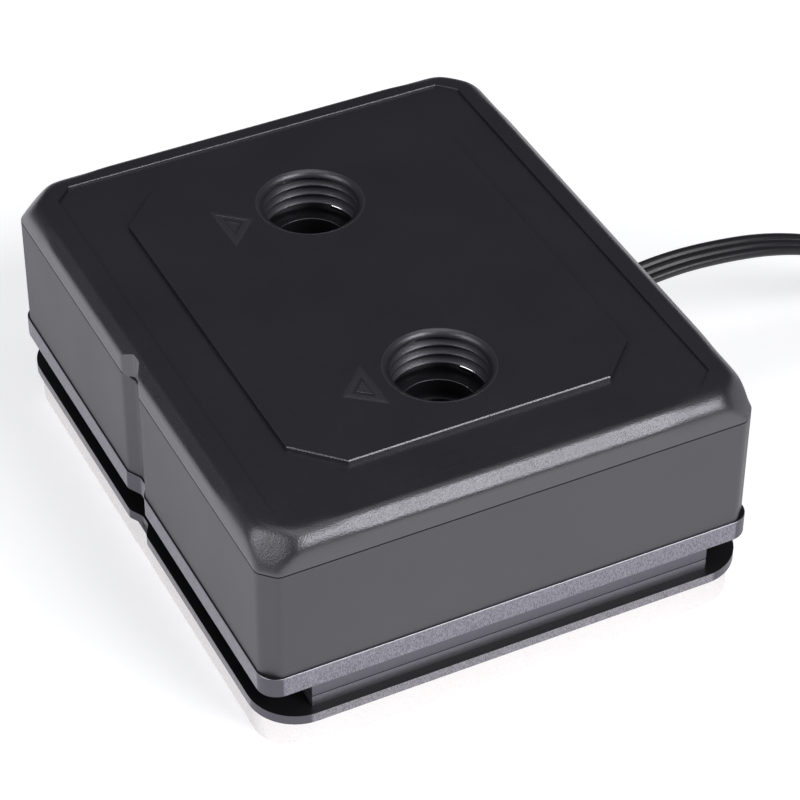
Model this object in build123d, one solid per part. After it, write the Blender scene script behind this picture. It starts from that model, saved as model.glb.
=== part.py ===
"""Liquid cooling cold plate with a small wet-rotor pump built into the block.

Millimetres, Z up. The origin is the middle of the contact face, on the floor. The short
sides lie along X, the long sides along Y, and the cable leaves on the +X side.
"""
import math
import os

from build123d import *

os.makedirs("parts", exist_ok=True)

# Plan of the block
body_width = 62.6
body_length = 74.3
body_corner_cut = 1.9
body_corner_round = 1.2
upper_plate_lip = 0.2
upper_corner_radius = 2.5
lower_plate_width = 63.0
lower_plate_length = 76.4
lower_corner_radius = 6.0
cold_plate_inset = 0.6
spacer_end_inset = 0.15
spacer_side_margin = 3.15

# Heights of the stack, from the floor up
cold_plate_height = 4.2
lower_plate_height = 1.3
jet_plate_height = 1.55
flow_plate_height = 1.95
upper_plate_height = 2.7
body_height = 15.15
cover_height = 4.4
plateau_rise = 0.3

# Small edge breaks
plate_edge_break = 0.06
seam_edge_break = 0.17
plateau_edge_break = 0.12

# Notch down the left side
notch_mouth = 5.2
notch_floor = 1.6
notch_depth = 1.0
notch_floor_round = 1.1
notch_mouth_round = 1.2
notch_centre = -0.1

# Top cover
cover_bevel = 1.6
bevel_softening = 1.2
corner_facet_reach = 6.0
corner_facet_lean = 37.0
recess_width = 55.0
recess_length = 67.2
recess_corner = 2.2
recess_depth = 0.3
plateau_width = 43.5
plateau_length = 55.8
plateau_corner = 5.2

# Ports, G1/4: the bore is cut at the thread's major diameter
port_offset = 17.44
port_thread_diameter = 13.16
port_thread_depth = 5.5
port_chamber_radius = 7.1
port_chamber_height = 0.6
port_seal_depth = 1.0
boss_radius = 8.7
boss_floor = 2.55
boss_clearance = 0.05
boss_bore_radius = 4.6
water_bore_radius = 4.2

# Water path in the plates
chamber_width = 33.0
chamber_length = 52.0
chamber_corner = 3.0
chamber_floor = 1.8
fin_thickness = 0.35
fin_pitch = 0.75
fin_length = 40.0
slot_length = 31.0
supply_slot_width = 3.2
return_slot_width = 4.0
side_channel_width = 7.0
plate_window_round = 1.5

# Impeller and volute
impeller_radius = 9.2
impeller_clearance = 0.8
volute_growth = 2.2
volute_height = 3.9
volute_outlet_reach = 16.5
volute_outlet_width = 4.2
vane_count = 6
vane_thickness = 0.8
vane_sweep = 62.0
eye_radius = 3.4
eye_collar_wall = 0.5
eye_clearance = 0.3
shroud_thickness = 0.5
back_plate_thickness = 0.8
impeller_floor_gap = 0.7
vane_height = 2.1
hub_wall = 0.9

# Rotor magnet, shaft and bearing
magnet_inner_radius = 7.2
magnet_outer_radius = 9.0
magnet_height = 4.4
magnet_side_clearance = 0.6
magnet_top_clearance = 0.4
shaft_radius = 1.0
shaft_seat_depth = 1.8
bearing_clearance = 0.03
bush_wall = 0.87
washer_thickness = 0.4
rotor_end_play = 0.12
retainer_radius = 1.7
retainer_thickness = 0.5

# Can that keeps the stator dry
can_inner_radius = 6.2
can_wall = 0.6
can_flange_radius = 7.6
can_flange_height = 0.8
can_seat_clearance = 0.06
can_seal_height = 0.5
can_seal_margin = 0.1
can_post_radius = 2.6
can_pin_radius = 2.2
can_pin_height = 1.5
air_gap = 0.4

# Stator
stator_clearance = 0.15
stator_height = 3.6
stator_floor_gap = 1.2
tooth_count = 6
tooth_width = 1.2
stator_hub_radius = 3.2
pole_shoe_depth = 0.8
pole_slot = 1.0
coil_width = 2.8
coil_depth = 1.5
coil_overhang = 0.8
coil_round = 0.35
coil_shoe_gap = 0.3

# Driver board and its pocket
board_reach = 13.0  # from the shaft to the board's left end
board_width = 15.2
right_wall = 4.3
board_thickness = 1.0
board_ledge = 1.1
board_corner = 1.5
pocket_clearance = 0.1
lead_room_length = 5.6
lead_room_width = 8.0
lead_room_depth = 7.0
board_screw_margin = 2.5

# Screws and seals
screw_radius = 1.48
screw_hole_radius = 1.6
screw_tapped_radius = 1.5
screw_head_radius = 2.8
screw_head_height = 1.6
screw_sink = 0.1
screw_socket = 2.0
screw_socket_depth = 0.9
screw_seal_margin = 1.5
long_screw_end_margin = 4.65
short_screw_offset_y = 11.0
long_screw_bite = 3.0
short_screw_bite = 8.0
board_screw_radius = 0.98
board_screw_head = 1.9
board_screw_head_height = 1.1
board_screw_length = 4.0
seal_section = 1.2
seal_width = 1.3
seal_groove_slack = 0.05
perimeter_seal_margin = 1.5

# Cable: a flat lead of three wires, its gland and its plug
ribbon_width = 4.1
ribbon_thickness = 1.35
cable_height = 19.4
gland_wall = 1.1
gland_flange_margin = 0.6
gland_flange_thickness = 0.7
gland_clearance = 0.04
lead_wall_gap = 3.2
lead_bend_radius = 3.2
coil_centre_x = 92.0
coil_inner_turn = 22.7
coil_turns = 2
coil_turn_pitch = 1.75
plug_width = 7.8
plug_height = 4.8
plug_length = 11.0
plug_pin_pitch = 2.5
plug_cavity = 1.7
plug_cavity_depth = 7.0
contact_size = 1.0
contact_length = 6.0

# Derived levels
lower_plate_base = cold_plate_height
jet_plate_base = lower_plate_base + lower_plate_height
flow_plate_base = jet_plate_base + jet_plate_height
upper_plate_base = flow_plate_base + flow_plate_height
body_base = upper_plate_base + upper_plate_height
cover_base = body_base + body_height
rim_top = cover_base + cover_height
recess_level = rim_top - recess_depth
plateau_top = rim_top + plateau_rise
thread_end = plateau_top - port_thread_depth
chamber_end = thread_end - port_chamber_height
boss_base = chamber_end - boss_floor

# Derived places of the base screws, outside the perimeter seals
seal_outside = chamber_width / 2 + perimeter_seal_margin + seal_width + 2 * seal_groove_slack
screw_offset_x = seal_outside + screw_seal_margin + screw_hole_radius
long_screw_offset_y = body_length / 2 - long_screw_end_margin
spacer_width = 2 * (screw_offset_x + spacer_side_margin)
spacer_length = body_length - 2 * spacer_end_inset

# Derived pump levels
shroud_base = body_base + impeller_floor_gap
vane_base = shroud_base + shroud_thickness
back_plate_base = vane_base + vane_height
magnet_base = back_plate_base + back_plate_thickness
can_base = magnet_base + air_gap
can_floor = can_base + can_wall
stator_base = can_floor + stator_floor_gap
wet_ceiling = magnet_base + magnet_height + magnet_top_clearance
volute_top = body_base + volute_height
can_outer_radius = can_inner_radius + can_wall
wet_radius = magnet_outer_radius + magnet_side_clearance
board_right = body_width / 2 - right_wall
board_left = -board_reach
board_length = board_right - board_left
board_middle = (board_left + board_right) / 2
lead_rise_x = board_right - lead_wall_gap
can_flange_base = boss_base
board_base = can_flange_base + board_ledge
board_top = board_base + board_thickness
bush_radius = shaft_radius + bearing_clearance + bush_wall
volute_start = impeller_radius + impeller_clearance
volute_end = volute_start + volute_growth

on_floor = (Align.CENTER, Align.CENTER, Align.MIN)


def rod(radius, low, high, x=0.0, y=0.0):
    """Upright cylinder between two levels."""
    return Pos(x, y, low) * Cylinder(radius, high - low, align=on_floor)


def ring(inner, outer, low, high, x=0.0, y=0.0):
    """Upright ring between two levels."""
    return Pos(x, y, low) * extrude(Circle(outer) - Circle(inner), amount=high - low)


def slab(outline, low, high):
    """Flat outline raised between two levels."""
    return Pos(0, 0, low) * extrude(outline, amount=high - low)


def cut_outline(width, length, cut, softening):
    """Rectangle with its corners cut at 45 degrees and the cuts' edges softened."""
    outline = chamfer(Rectangle(width, length).vertices(), cut)
    return fillet(outline.vertices(), softening)


def notch_tool(half_width, low, high):
    """Notch with sloping sides, cut into the side at -half_width."""
    floor_x = -half_width + notch_depth
    reach = 1.0
    outer = notch_mouth / 2 + reach
    inner = notch_floor / 2
    outline = Polygon(
        (-half_width - reach, notch_centre - outer),
        (-half_width, notch_centre - outer),
        (-half_width, notch_centre - notch_mouth / 2),
        (floor_x, notch_centre - inner),
        (floor_x, notch_centre + inner),
        (-half_width, notch_centre + notch_mouth / 2),
        (-half_width, notch_centre + outer),
        (-half_width - reach, notch_centre + outer),
        align=None,
    )
    floor_corners = outline.vertices().group_by(Axis.X)[-1]
    outline = fillet(floor_corners, notch_floor_round)
    mouth_corners = [
        corner for corner in outline.vertices()
        if abs(corner.X + half_width) < 0.01 and abs(corner.Y - notch_centre) < outer - 0.01
    ]
    outline = fillet(mouth_corners, notch_mouth_round)
    return Pos(0, 0, low) * extrude(outline, amount=high - low)


def corners(x, y):
    """Four places, mirrored about both middle planes."""
    return [(sx * x, sy * y) for sx in (-1, 1) for sy in (-1, 1)]


def ring_band(width, length, corner, band):
    """Rounded rectangular band, band wide, outside the given opening."""
    outer = RectangleRounded(width + 2 * band, length + 2 * band, corner + band)
    return outer - RectangleRounded(width, length, corner)


long_screw_places = corners(screw_offset_x, long_screw_offset_y)
short_screw_places = corners(screw_offset_x, short_screw_offset_y)
screw_places = long_screw_places + short_screw_places
port_places = [(0.0, port_offset), (0.0, -port_offset)]


def screw_holes(low, high, radius=screw_hole_radius, places=screw_places):
    """Holes for the base screws between two levels."""
    return [rod(radius, low, high, x, y) for x, y in places]


# Top cover: bevelled block, recess, raised octagon, two port bosses
cover_outline = cut_outline(body_width, body_length, body_corner_cut, body_corner_round)
bevel_frustum = extrude(
    Rectangle(
        body_width + 2 * (cover_height - cover_bevel),
        body_length + 2 * (cover_height - cover_bevel),
    ),
    amount=cover_height,
    taper=45,
)
facet_half_side = (body_width / 2 + body_length / 2 - corner_facet_reach) / math.sqrt(2)
facet_side = 2 * (facet_half_side + cover_height * math.tan(math.radians(corner_facet_lean)))
facet_outline = Rot(0, 0, 45) * Rectangle(facet_side, facet_side)
facet_frustum = extrude(facet_outline, amount=cover_height, taper=corner_facet_lean)
top_cover = extrude(cover_outline, amount=cover_height) & bevel_frustum & facet_frustum
bevel_edges = top_cover.edges() - top_cover.edges().filter_by(Axis.Z)
bevel_edges = bevel_edges.filter_by_position(Axis.Z, cover_height * 0.1, cover_height)
top_cover = fillet(bevel_edges, bevel_softening)
top_cover = chamfer(top_cover.faces().sort_by(Axis.Z)[0].edges(), seam_edge_break)
top_cover = Pos(0, 0, cover_base) * top_cover
recess_outline = chamfer(Rectangle(recess_width, recess_length).vertices(), recess_corner)
top_cover -= slab(recess_outline, recess_level, rim_top + 1)
plateau_outline = chamfer(Rectangle(plateau_width, plateau_length).vertices(), plateau_corner)
plateau = slab(plateau_outline, recess_level, plateau_top)
plateau = chamfer(plateau.faces().sort_by(Axis.Z)[-1].edges(), plateau_edge_break)
top_cover += plateau
for x, y in port_places:
    top_cover += rod(boss_radius, boss_base, cover_base + 0.5, x, y)
seal_level = boss_base + (chamber_end - boss_base - seal_section) / 2
for x, y in port_places:
    top_cover -= rod(port_thread_diameter / 2, thread_end, plateau_top + 1, x, y)
    top_cover -= rod(port_chamber_radius, chamber_end, thread_end, x, y)
    top_cover -= rod(boss_bore_radius, boss_base - 1, chamber_end, x, y)
    top_cover -= ring(boss_radius - port_seal_depth, boss_radius + 1, seal_level, seal_level + seal_section, x, y)
top_cover -= notch_tool(body_width / 2, cover_base - 1, rim_top + 1)
for hole in screw_holes(cover_base - 1, cover_base + long_screw_bite + 0.4, screw_tapped_radius, long_screw_places):
    top_cover -= hole

# Seals round the port bosses, squeezed into their grooves
port_seals = [
    ring(
        boss_radius - port_seal_depth + seal_groove_slack,
        boss_radius + boss_clearance - 0.02,
        seal_level,
        seal_level + seal_section,
        x,
        y,
    )
    for x, y in port_places
]

# Housing body: wet pump room from below, dry pocket from above
housing_body = slab(cover_outline, body_base, cover_base)
for x, y in port_places:
    housing_body -= rod(water_bore_radius, body_base - 1, cover_base + 1, x, y)
    housing_body -= rod(boss_radius + boss_clearance, boss_base, cover_base + 1, x, y)
spiral_points = []
for step in range(13):
    share = step / 12
    angle = math.radians(-90 + 360 * share)
    radius = volute_start + volute_growth * share
    spiral_points.append((radius * math.cos(angle), radius * math.sin(angle)))
spiral = Spline(*spiral_points)
volute = make_face(spiral + Line(spiral_points[-1], spiral_points[0]))
outlet_middle = -volute_end + volute_outlet_width / 2
outlet = Pos(volute_outlet_reach / 2, outlet_middle) * Rectangle(volute_outlet_reach, volute_outlet_width)
outlet = fillet(outlet.vertices().group_by(Axis.X)[-1], plate_window_round)
housing_body -= slab(volute + outlet, body_base - 1, volute_top)
housing_body -= rod(wet_radius, body_base, wet_ceiling)
housing_body -= rod(can_outer_radius + can_seat_clearance, wet_ceiling - 1, cover_base)
housing_body -= rod(can_flange_radius + pocket_clearance, can_flange_base, cover_base)
pocket_outline = Pos(board_middle, 0) * RectangleRounded(
    board_length + 2 * pocket_clearance, board_width + 2 * pocket_clearance, board_corner
)
housing_body -= slab(pocket_outline, board_base, cover_base + 1)
lead_room_middle = board_right - lead_room_length / 2
lead_room_outline = Pos(lead_room_middle, 0) * RectangleRounded(lead_room_length, lead_room_width, 1.0)
housing_body -= slab(lead_room_outline, board_base - lead_room_depth, board_base)
gland_width = ribbon_width + 2 * gland_wall
gland_height = ribbon_thickness + 2 * gland_wall
wall_plane = Plane(origin=(body_width / 2, 0, cable_height), x_dir=(0, 1, 0), z_dir=(1, 0, 0))
gland_hole = wall_plane * SlotOverall(gland_width + 2 * gland_clearance, gland_height + 2 * gland_clearance)
wall_depth = body_width / 2 - board_right
housing_body -= extrude(gland_hole, amount=-wall_depth - 0.5)
perimeter_band = ring_band(
    chamber_width + 2 * perimeter_seal_margin,
    chamber_length + 2 * perimeter_seal_margin,
    chamber_corner + perimeter_seal_margin,
    seal_width + 2 * seal_groove_slack,
)
housing_body -= slab(perimeter_band, body_base, body_base + seal_section)
housing_body -= notch_tool(body_width / 2, body_base - 1, cover_base + 1)
for hole in screw_holes(body_base - 1, cover_base + 1, screw_tapped_radius, long_screw_places):
    housing_body -= hole
for hole in screw_holes(body_base - 1, body_base + short_screw_bite + 0.5, screw_tapped_radius, short_screw_places):
    housing_body -= hole
board_screw_places = [
    (board_left + board_screw_margin, 0.0),
    (board_right - lead_room_length - board_screw_margin, -board_width / 2 + board_screw_margin),
]
for x, y in board_screw_places:
    housing_body -= rod(board_screw_radius + 0.02, board_base - board_screw_length, board_base, x, y)

# Upper plate: lid of the pump room, with the eye in its middle
upper_width = body_width + 2 * upper_plate_lip
upper_length = body_length + 2 * upper_plate_lip
upper_outline = RectangleRounded(upper_width, upper_length, upper_corner_radius)
upper_plate = slab(upper_outline, upper_plate_base, body_base)
upper_plate = chamfer(upper_plate.faces().sort_by(Axis.Z)[-1].edges(), plate_edge_break)
for x, y in port_places:
    upper_plate -= rod(water_bore_radius, upper_plate_base - 1, body_base + 1, x, y)
eye_hole_radius = eye_radius + eye_collar_wall + eye_clearance
upper_plate -= rod(eye_hole_radius, upper_plate_base - 1, body_base + 1)
window_middle = volute_outlet_reach - side_channel_width / 2
window_outline = Pos(window_middle, outlet_middle) * RectangleRounded(
    side_channel_width, volute_outlet_width, plate_window_round
)
upper_plate -= slab(window_outline, upper_plate_base - 1, body_base + 1)
upper_plate -= notch_tool(upper_width / 2, upper_plate_base - 1, body_base + 1)
for hole in screw_holes(upper_plate_base - 1, body_base + 1):
    upper_plate -= hole

# Flow plate: leads the water from the inlet to the eye, and round to the rear slot
supply_middle = chamber_length / 2 - supply_slot_width / 2
return_middle = -chamber_length / 2 + return_slot_width / 2
flow_outline = Rectangle(spacer_width, spacer_length)
flow_outline -= Pos(0, port_offset / 2) * Rot(0, 0, 90) * SlotCenterToCenter(port_offset, 2 * water_bore_radius)
side_low = outlet_middle - volute_outlet_width / 2
side_high = supply_middle + supply_slot_width / 2
side_channel = Pos(window_middle, (side_low + side_high) / 2) * RectangleRounded(
    side_channel_width, side_high - side_low, plate_window_round
)
supply_slot = Pos(0, supply_middle) * RectangleRounded(slot_length, supply_slot_width, plate_window_round)
return_low = return_middle - return_slot_width / 2
return_high = -port_offset + water_bore_radius
return_window = Pos(0, (return_low + return_high) / 2) * RectangleRounded(
    2 * water_bore_radius, return_high - return_low, plate_window_round
)
return_slot = Pos(0, return_middle) * RectangleRounded(slot_length, return_slot_width, plate_window_round)
flow_outline -= side_channel + supply_slot
flow_outline -= return_window + return_slot
flow_plate = slab(flow_outline, flow_plate_base, upper_plate_base)
for hole in screw_holes(flow_plate_base - 1, upper_plate_base + 1):
    flow_plate -= hole

# Jet plate: a supply slot at the rear end of the fins and a return slot at the front end
jet_outline = Rectangle(spacer_width, spacer_length) - supply_slot - return_slot
jet_plate = slab(jet_outline, jet_plate_base, flow_plate_base)
for hole in screw_holes(jet_plate_base - 1, flow_plate_base + 1):
    jet_plate -= hole

# Lower plate: flange round the fin chamber
lower_outline = RectangleRounded(lower_plate_width, lower_plate_length, lower_corner_radius)
chamber_outline = RectangleRounded(chamber_width, chamber_length, chamber_corner)
lower_plate = slab(lower_outline - chamber_outline, lower_plate_base, jet_plate_base)
lower_plate -= notch_tool(lower_plate_width / 2, lower_plate_base - 1, jet_plate_base + 1)
for hole in screw_holes(lower_plate_base - 1, jet_plate_base + 1):
    lower_plate -= hole

# Cold plate with its skived fins, which reach up to the jet plate
cold_outline = RectangleRounded(
    lower_plate_width - 2 * cold_plate_inset,
    lower_plate_length - 2 * cold_plate_inset,
    lower_corner_radius - cold_plate_inset,
)
cold_plate = slab(cold_outline, 0, cold_plate_height)
cold_plate -= slab(chamber_outline, chamber_floor, cold_plate_height + 1)
cold_plate -= slab(perimeter_band, cold_plate_height - seal_section, cold_plate_height + 1)
for x, y in screw_places:
    cold_plate -= rod(screw_hole_radius, -1, cold_plate_height + 1, x, y)
    cold_plate -= Pos(x, y, screw_sink) * Cone(
        screw_head_radius + 0.05, screw_hole_radius, screw_head_height, align=on_floor
    )
    cold_plate -= rod(screw_head_radius + 0.05, -1, screw_sink, x, y)
fin_count = int((chamber_width - 2 * fin_pitch) / fin_pitch)
fin_height = jet_plate_base - chamber_floor
fin_shift = (fin_count - 1) / 2
fins = [
    Pos((number - fin_shift) * fin_pitch, 0, chamber_floor - 0.1)
    * Box(fin_thickness, fin_length, fin_height + 0.1, align=on_floor)
    for number in range(fin_count)
]
cold_plate = cold_plate + fins

# Perimeter seals: one round the fin chamber, one round the pump room
seal_band = ring_band(
    chamber_width + 2 * (perimeter_seal_margin + seal_groove_slack),
    chamber_length + 2 * (perimeter_seal_margin + seal_groove_slack),
    chamber_corner + perimeter_seal_margin + seal_groove_slack,
    seal_width,
)
perimeter_seals = [
    slab(seal_band, cold_plate_height - seal_section, cold_plate_height),
    slab(seal_band, body_base, body_base + seal_section),
]

# Impeller: shroud with its eye collar, swept vanes, back plate and hub
def vane(angle):
    """One backward-swept vane."""
    inner = eye_radius + 0.3
    outer = impeller_radius
    lead = []
    trail = []
    for step in range(5):
        share = step / 4
        radius = inner + (outer - inner) * share
        turn = math.radians(angle - vane_sweep * share ** 0.8)
        half = vane_thickness / 2 / radius
        lead.append((radius * math.cos(turn + half), radius * math.sin(turn + half)))
        trail.append((radius * math.cos(turn - half), radius * math.sin(turn - half)))
    edges = Spline(*lead) + Line(lead[-1], trail[-1]) + Spline(*trail[::-1]) + Line(trail[0], lead[0])
    return slab(make_face(edges), vane_base - 0.1, back_plate_base + 0.1)


hub_radius = bush_radius + hub_wall
impeller = ring(eye_radius, impeller_radius, shroud_base, vane_base)
impeller += ring(eye_radius, eye_radius + eye_collar_wall, body_base - 0.8, shroud_base)
impeller += rod(impeller_radius, back_plate_base, magnet_base)
impeller += ring(magnet_outer_radius, impeller_radius, magnet_base, magnet_base + 1.0)
impeller += rod(hub_radius, vane_base + 0.2, magnet_base)
for number in range(vane_count):
    impeller += vane(360 / vane_count * number)
impeller -= rod(bush_radius, body_base - 1, magnet_base + 1)

rotor_magnet = ring(magnet_inner_radius, magnet_outer_radius - 0.02, magnet_base, magnet_base + magnet_height)
washer_base = can_base - washer_thickness
bush_top = washer_base - rotor_end_play
bush_base = vane_base + 0.2
bearing_bush = ring(shaft_radius + bearing_clearance, bush_radius - 0.01, bush_base, bush_top)
thrust_washer = ring(shaft_radius + 0.01, bush_radius, washer_base, can_base)
retainer_top = bush_base - rotor_end_play
shaft_retainer = ring(shaft_radius + 0.01, retainer_radius, retainer_top - retainer_thickness, retainer_top)
shaft_foot = retainer_top - retainer_thickness - 0.2
shaft_head = can_base + shaft_seat_depth
pump_shaft = rod(shaft_radius, shaft_foot, shaft_head)

# Separation can: cup, flange and the post that holds the shaft
can_flange_top = can_flange_base + can_flange_height
separation_can = rod(can_outer_radius, can_base, can_flange_top)
separation_can += rod(can_flange_radius, can_flange_base, can_flange_top)
separation_can -= rod(can_inner_radius, can_floor, can_flange_top + 1)
separation_can += rod(can_post_radius, can_floor, stator_base)
separation_can += rod(can_pin_radius, stator_base, stator_base + can_pin_height)
separation_can -= rod(shaft_radius + 0.01, can_base - 1, shaft_head)

# Seal under the can's flange, in a groove cut into the housing
can_seal_base = can_flange_base - can_seal_height
can_seal_inner = can_outer_radius + can_seat_clearance + can_seal_margin
can_seal_outer = can_flange_radius - can_seal_margin
housing_body -= ring(can_seal_inner, can_seal_outer, can_seal_base, can_flange_base)
can_seal = ring(can_seal_inner + seal_groove_slack, can_seal_outer - seal_groove_slack, can_seal_base, can_flange_base)

# Stator core: hub, teeth and pole shoes
stator_radius = can_inner_radius - stator_clearance
core_outline = Circle(stator_hub_radius)
tooth_reach = stator_radius - pole_shoe_depth / 2
for number in range(tooth_count):
    turn = 360 / tooth_count * number
    core_outline += Rot(0, 0, turn) * Pos(tooth_reach / 2, 0) * Rectangle(tooth_reach, tooth_width)
shoe_band = Circle(stator_radius) - Circle(stator_radius - pole_shoe_depth)
for number in range(tooth_count):
    turn = 360 / tooth_count * (number + 0.5)
    shoe_band -= Rot(0, 0, turn) * Pos(stator_radius, 0) * Rectangle(3 * pole_shoe_depth, pole_slot)
core_outline += shoe_band
core_outline -= Circle(can_pin_radius + 0.03)
stator_core = slab(core_outline, stator_base, stator_base + stator_height)

# Coils, one round each tooth
coil_radius = stator_radius - pole_shoe_depth - coil_shoe_gap - coil_depth / 2
coil_body = Box(coil_depth, coil_width, stator_height + 2 * coil_overhang)
coil_body = fillet(coil_body.edges().filter_by(Axis.X), coil_round)
coil_body -= Box(coil_depth + 1, tooth_width + 0.04, stator_height + 0.04)
stator_coils = [
    Rot(0, 0, 360 / tooth_count * number)
    * Pos(coil_radius, 0, stator_base + stator_height / 2)
    * coil_body
    for number in range(tooth_count)
]

# Driver board with its parts
board_outline = Pos(board_middle, 0) * RectangleRounded(board_length, board_width, board_corner)
driver_board = slab(board_outline, board_base, board_top)
for x, y in board_screw_places:
    driver_board -= rod(board_screw_radius + 0.1, board_base - 1, board_top + 1, x, y)
board_part_sizes = [
    (-10.0, 0.0, 5.0, 5.0, 0.9),
    (-2.5, 3.0, 3.2, 1.6, 1.3),
    (-2.5, -3.0, 3.2, 1.6, 1.3),
    (5.0, 1.0, 4.2, 4.2, 1.5),
    (12.0, 3.2, 2.0, 1.25, 0.8),
]
board_components = [
    Pos(board_middle + x, y, board_top) * Box(wide, deep, tall, align=on_floor)
    for x, y, wide, deep, tall in board_part_sizes
]
for wire in (-1, 0, 1):
    pad_y = wire * ribbon_width / 3
    board_components.append(rod(0.5, board_top, board_top + 0.6, lead_rise_x, pad_y))


def board_screw(x, y):
    """Pan head screw that holds the board."""
    screw = rod(board_screw_radius, board_base - board_screw_length + 0.3, board_top + 0.1, x, y)
    head = rod(board_screw_head, board_top, board_top + board_screw_head_height, x, y)
    head = fillet(head.edges().sort_by(Axis.Z)[-1], 0.4)
    return screw + head


board_screws = [board_screw(x, y) for x, y in board_screw_places]


def base_screw(x, y, tip):
    """Countersunk screw driven from below, with a hexagon socket."""
    screw = Pos(x, y, screw_sink) * Cone(
        screw_head_radius, screw_radius, screw_head_height, align=on_floor
    )
    screw += rod(screw_radius, screw_sink + screw_head_height, tip, x, y)
    socket = RegularPolygon(screw_socket / 2, 6, major_radius=False)
    return screw - Pos(x, y, screw_sink - 0.01) * extrude(socket, amount=screw_socket_depth)


long_screws = [base_screw(x, y, cover_base + long_screw_bite) for x, y in long_screw_places]
short_screws = [base_screw(x, y, body_base + short_screw_bite) for x, y in short_screw_places]

# Cable gland in the right wall, and the lead inside it up to the board
gland_outline = wall_plane * SlotOverall(gland_width, gland_height)
flange_outline = wall_plane * SlotOverall(
    gland_width + 2 * gland_flange_margin, gland_height + 2 * gland_flange_margin
)
ribbon_outline = SlotOverall(ribbon_width, ribbon_thickness)
gland_bore = wall_plane * SlotOverall(ribbon_width + 2 * gland_clearance, ribbon_thickness + 2 * gland_clearance)
cable_grommet = extrude(gland_outline, amount=-wall_depth) + extrude(flange_outline, amount=gland_flange_thickness)
cable_grommet -= extrude(gland_bore, amount=gland_flange_thickness + 1)
cable_grommet -= extrude(gland_bore, amount=-wall_depth - 1)
cable_exit = body_width / 2 + gland_flange_thickness
lead_path = FilletPolyline(
    (cable_exit, 0, cable_height),
    (lead_rise_x, 0, cable_height),
    (lead_rise_x, 0, board_base),
    radius=lead_bend_radius,
)
lead_start = Plane(origin=(cable_exit, 0, cable_height), x_dir=(0, 1, 0), z_dir=(-1, 0, 0))
cable_lead = sweep(lead_start * ribbon_outline, path=lead_path)


def cord_path(points):
    """Straight runs joined by arcs as large as the two runs at each point allow."""
    radii = []
    for before, here, after in zip(points, points[1:], points[2:]):
        run_in = Vector(*here) - Vector(*before)
        run_out = Vector(*after) - Vector(*here)
        turn = math.radians(run_in.get_angle(run_out))
        radii.append(0.45 * min(run_in.length, run_out.length) / math.tan(turn / 2))
    return FilletPolyline(*points, radius=radii), radii


def cord_tube(name, points, outline, x_dir):
    """Flat cord along a route, with its radii and its volume compared with its length."""
    path, radii = cord_path(points)
    heading = Vector(*points[1]) - Vector(*points[0])
    start = Plane(origin=points[0], x_dir=x_dir, z_dir=heading)
    tube = sweep(start * outline, path=path)
    expected = outline.area * path.length
    print(name, "radii", [round(radius, 1) for radius in radii])
    print(name, "length", round(path.length, 2), "volume over section x length", round(tube.volume / expected, 4))
    return tube


# Free cable: out of the gland, a slight arch, down to the floor and into a neat coil
coil_outer_turn = coil_inner_turn + coil_turns * coil_turn_pitch
coil_centre_y = -coil_outer_turn
lying_height = ribbon_width / 2
ribbon_points = [
    (cable_exit, 0, cable_height),
    (35.6, 0, cable_height),
    (41.8, 0, 20.0),
    (48.5, 0, 19.55),
    (56.0, 0, 18.3),
    (64.0, 0, 15.4),
    (72.0, 0, 10.9),
    (79.5, 0, 6.2),
    (86.0, 0, 3.2),
    (coil_centre_x, 0, lying_height),
]
ribbon_cable = cord_tube("ribbon_cable", ribbon_points, ribbon_outline, (0, 1, 0))
cable_coil = ring(
    coil_inner_turn - ribbon_thickness / 2,
    coil_outer_turn + ribbon_thickness / 2,
    0,
    ribbon_width,
    coil_centre_x,
    coil_centre_y,
)
tail_run = 7.4
tail_headings = [-14, -42, -70, -98, -122]
tail_points = [(coil_centre_x, coil_centre_y + coil_inner_turn, lying_height)]
for heading in tail_headings:
    x, y, z = tail_points[-1]
    turn = math.radians(heading)
    tail_points.append((x + tail_run * math.cos(turn), y + tail_run * math.sin(turn), z))
cable_tail = cord_tube("cable_tail", tail_points, ribbon_outline, (0, 0, 1))

# Plug: three cavities with their contacts, a keying rib on top
plug_place = Location(Plane(
    origin=(tail_points[-1][0], tail_points[-1][1], 0),
    x_dir=(
        math.cos(math.radians(tail_headings[-1])),
        math.sin(math.radians(tail_headings[-1])),
        0,
    ),
    z_dir=(0, 0, 1),
))
plug_body = Pos(plug_length / 2, 0, 0) * Box(plug_length, plug_width, plug_height, align=on_floor)
plug_body = fillet(plug_body.edges().filter_by(Axis.X), 0.4)
plug_rib = Pos(plug_length * 0.62, 0, plug_height - 0.2) * Box(plug_length * 0.5, 1.6, 0.9, align=on_floor)
plug_body += plug_rib
cavities = [
    Pos(plug_length - plug_cavity_depth / 2, wire * plug_pin_pitch, plug_height / 2)
    * Box(plug_cavity_depth, plug_cavity, plug_cavity)
    for wire in (-1, 0, 1)
]
plug_housing = plug_place * (plug_body - cavities)
contact = Box(contact_length, contact_size, contact_size) - Box(contact_length + 1, 0.5, 0.5)
contact_x = plug_length - plug_cavity_depth + contact_length / 2
contact_z = plug_height / 2 - (plug_cavity - contact_size) / 2
plug_contacts = [
    plug_place * Pos(contact_x, wire * plug_pin_pitch, contact_z) * contact for wire in (-1, 0, 1)
]

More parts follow.
